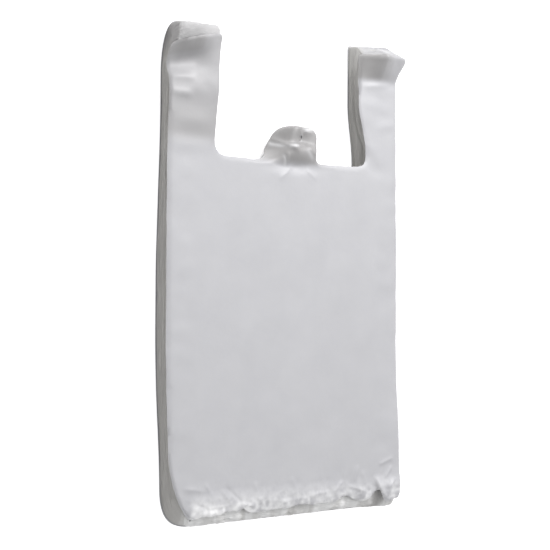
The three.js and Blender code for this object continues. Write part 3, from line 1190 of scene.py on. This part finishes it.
class BAG_OT_front_bag(bpy.types.Operator):
    """Make the front bag: a creased film with folded sides, a puckered tab and a wavy base seal"""

    bl_idname = "bag.front_bag"
    bl_label = "Front Bag"

    def execute(self, context):
        edge = outline(1.0, fine=1.3)
        x, y = edge[:, 0], edge[:, 1]
        ragged = 1.0 * line_noise(x, 14, 21) + 0.7 * line_noise(x, 5, 22)
        for place, depth, width in SEAL_DIPS:
            ragged += depth * bell_mm(x, place, width)
        edge[:, 1] += near_end(-y, 14, 10) * ragged * MM
        edge -= FRONT_OVERHANG * inward_normals(edge)
        flat, triangles = flat_triangles(edge, 1.5 * MM, 3.2 * MM)
        x, y = flat[:, 0], flat[:, 1]
        relief = film_waves(x, y, 4) + seal_waves(x, y, 11) + corner_fold(x, y)
        for start, end, height, width in TAB_CREASES + BASE_CREASES:
            relief += crease(x, y, start, end, height, width)
        for start, end, height, width in SOFT_WAVES:
            relief += wave(x, y, start, end, height, width)
        relief += MEAN_RELIEF
        # hollows that would cut into the bag behind are flattened
        clear = 0.5 * (relief + np.sqrt(relief**2 + (0.5 * MM) ** 2))
        distance = distance_to_edge(flat, edge)
        folded = smoothstep(np.abs(x), HALF_WIDTH - 40 * MM, HALF_WIDTH - 30 * MM)
        roll = rolled_edge(distance, *FOLDED_ROLL) * folded
        roll += rolled_edge(distance, *CUT_ROLL) * (1 - folded)
        roll += rolled_edge(distance, *TUCKED_ROLL) * tucked_mask(x, y)
        loose_seal = SEAL_LIFT * step_mm(-y, 196, 216)
        top = film_height(x, y, 1.0) + FRONT_LIFT + clear + loose_seal + roll
        mesh = sheet_mesh("front_bag", flat, triangles, top, FRONT_FILM)
        # Painted shade on the tab and the curling handles; painted light along the base seal, lighter
        # towards the left, in crumpled patches
        front_painted_shade = np.maximum(tab_painted_shade_mask(x, y), curl_painted_shade_mask(x, y))
        whiteness = 0.3 + 0.32 * step_mm(-x, 10, 70) + 1.3 * crumple(x, y * 1.8, 7 * MM, 41)
        pale = base_painted_light_mask(x, y) * np.clip(whiteness, 0, 1)
        # Painted highlights on the tab, which also lift the painted shade where they lie
        for start, end, whiteness, width in TAB_PAINTED_HIGHLIGHTS:
            painted_highlight = wave(x, y, start, end, whiteness, width) / MM
            front_painted_shade = front_painted_shade * (1 - painted_highlight)
            pale = np.maximum(pale, 0.8 * painted_highlight)
        add_values(mesh, {"pale": np.tile(pale, 2), "fused": np.tile(front_painted_shade, 2)})
        finish_piece(new_piece("front_bag", mesh), face_film())
        return {"FINISHED"}


class BAG_OT_inner_bags(bpy.types.Operator):
    """Make the bags between the front and the back one, in two halves of the pack"""

    bl_idname = "bag.inner_bags"
    bl_label = "Inner Bags"

    def execute(self, context):
        settings = context.scene.bag_pack
        half = settings.bags // 2
        lower = stacked_bags("back_half_bags", half, 0.0, 0.5, settings.film, 3.0)
        upper = stacked_bags("front_half_bags", half, 0.5, 0.99, settings.film, 3.0)
        for piece in (lower, upper):
            finish_piece(piece, edge_film())
        return {"FINISHED"}


class BAG_OT_back_bag(bpy.types.Operator):
    """Make the back bag, which lies flat on the floor"""

    bl_idname = "bag.back_bag"
    bl_label = "Back Bag"

    def execute(self, context):
        edge = outline(0.0)
        flat, triangles = flat_triangles(edge, 3.0 * MM, 6.0 * MM)
        x, y = flat[:, 0], flat[:, 1]
        raised = BACK_LIFT + 0.3 * MM * (1 + noise_mm(x, y, 30, 40, 71))
        top = film_height(x, y, 0.0) + raised
        mesh = sheet_mesh("back_bag", flat, triangles, top, BACK_FILM)
        finish_piece(new_piece("back_bag", mesh), face_film())
        return {"FINISHED"}


class BAG_OT_tab_weld(bpy.types.Operator):
    """Make the fused wall that the hot pin leaves through the tab"""

    bl_idname = "bag.tab_weld"
    bl_label = "Tab Weld"

    def execute(self, context):
        top = float(film_height(PIN[0], PIN[1], 1.0))
        profile = ((1.0, 0.3 * MM), (1.0, top * 0.5), (1.0, top + 0.6 * MM), (1.25, top + 1.1 * MM),
                   (1.7, top + 0.7 * MM), (1.7, top * 0.5), (1.7, 0.3 * MM))
        points = []
        for scale, z in profile:
            points += [(x, y, z) for x, y in pin_ring(scale)]
        mesh = bpy.data.meshes.new("tab_weld")
        mesh.from_pydata(points, [], ring_faces(len(profile), PIN_POINTS))
        smooth_by_angle(mesh, 60)
        finish_piece(new_piece("tab_weld", mesh), edge_film())
        return {"FINISHED"}


def area_light(name, place, size, power, colour):
    """A soft light that shines at the middle of the floor."""
    data = bpy.data.lights.new(name, "AREA")
    data.shape = "RECTANGLE"
    data.size, data.size_y = size
    data.energy = power
    data.color = colour
    light = bpy.data.objects.new(name, data)
    light.location = place
    light.rotation_euler = (-Vector(place)).to_track_quat("-Z", "Y").to_euler()
    bpy.context.scene.collection.objects.link(light)


class BAG_OT_stage(bpy.types.Operator):
    """Lay the pale floor, set the soft lights and aim the camera"""

    bl_idname = "bag.stage"
    bl_label = "Stage"

    def execute(self, context):
        scene = context.scene
        settings = scene.bag_stage
        mesh = bpy.data.meshes.new("floor")
        side = FLOOR_SIDE
        corners = [(-side, -side, 0), (side, -side, 0), (side, side, 0), (-side, side, 0)]
        mesh.from_pydata(corners, [], [(0, 1, 2, 3)])
        floor = new_piece("floor", mesh)
        paper = bpy.data.materials.new("floor_paper")
        paper.use_nodes = True
        looks = paper.node_tree.nodes["Principled BSDF"].inputs
        looks["Base Color"].default_value = (0.93, 0.93, 0.93, 1)
        looks["Roughness"].default_value = 0.9
        looks["Emission Color"].default_value = (1, 1, 1, 1)
        looks["Emission Strength"].default_value = settings.glow
        mesh.materials.append(paper)

        area_light("key_light", (0.5, 1.15, 1.3), (1.2, 0.7), settings.key_power, (1, 0.995, 1))
        area_light("top_light", (0.3, 0.1, 1.8), (1.4, 1.4), settings.top_power, (0.985, 0.99, 1))

        world = bpy.data.worlds.new("studio")
        world.use_nodes = True
        sky = world.node_tree.nodes["Background"].inputs
        sky["Color"].default_value = (1, 1, 1, 1)
        sky["Strength"].default_value = settings.sky
        scene.world = world
        scene.view_settings.view_transform = "Standard"

        camera = bpy.data.cameras.new("camera")
        camera.lens = settings.lens
        camera.sensor_width = 36
        view = bpy.data.objects.new("camera", camera)
        turned = Matrix.Rotation(-settings.turn, 3, "Y") @ Matrix.Rotation(settings.tip, 3, "X")
        turned = turned @ Matrix.Rotation(settings.roll, 3, "Z")
        middle = turned @ Vector((-0.2 * MM, -3.2 * MM, settings.distance))
        view.matrix_world = Matrix.Translation(middle) @ turned.to_4x4()
        scene.collection.objects.link(view)
        scene.camera = view
        return {"FINISHED"}


class BAG_PT_panel(bpy.types.Panel):
    """Buttons for each group of the pack"""

    bl_idname = "BAG_PT_panel"
    bl_label = "Bag Block"
    bl_space_type = "VIEW_3D"
    bl_region_type = "UI"
    bl_category = "Bag Block"

    def draw(self, context):
        for settings in (context.scene.bag_pack, context.scene.bag_film, context.scene.bag_stage):
            box = self.layout.box()
            for name in settings.bl_rna.properties.keys():
                if name not in ("rna_type", "name"):
                    box.prop(settings, name)
        for operator in OPERATORS:
            self.layout.operator(operator.bl_idname)


OPERATORS = (BAG_OT_stage, BAG_OT_back_bag, BAG_OT_inner_bags, BAG_OT_front_bag, BAG_OT_tab_weld)
SETTINGS = {"bag_pack": BagPackSettings, "bag_film": BagFilmSettings, "bag_stage": BagStageSettings}


def register():
    for name, group in SETTINGS.items():
        bpy.utils.register_class(group)
        setattr(bpy.types.Scene, name, PointerProperty(type=group))
    for made in OPERATORS + (BAG_PT_panel,):
        bpy.utils.register_class(made)


def unregister():
    for made in reversed(OPERATORS + (BAG_PT_panel,)):
        bpy.utils.unregister_class(made)
    for name, group in SETTINGS.items():
        delattr(bpy.types.Scene, name)
        bpy.utils.unregister_class(group)


def main():
    register()
    bpy.ops.bag.stage()
    bpy.ops.bag.back_bag()
    bpy.ops.bag.inner_bags()
    bpy.ops.bag.front_bag()
    bpy.ops.bag.tab_weld()


if __name__ == "__main__":
    main()
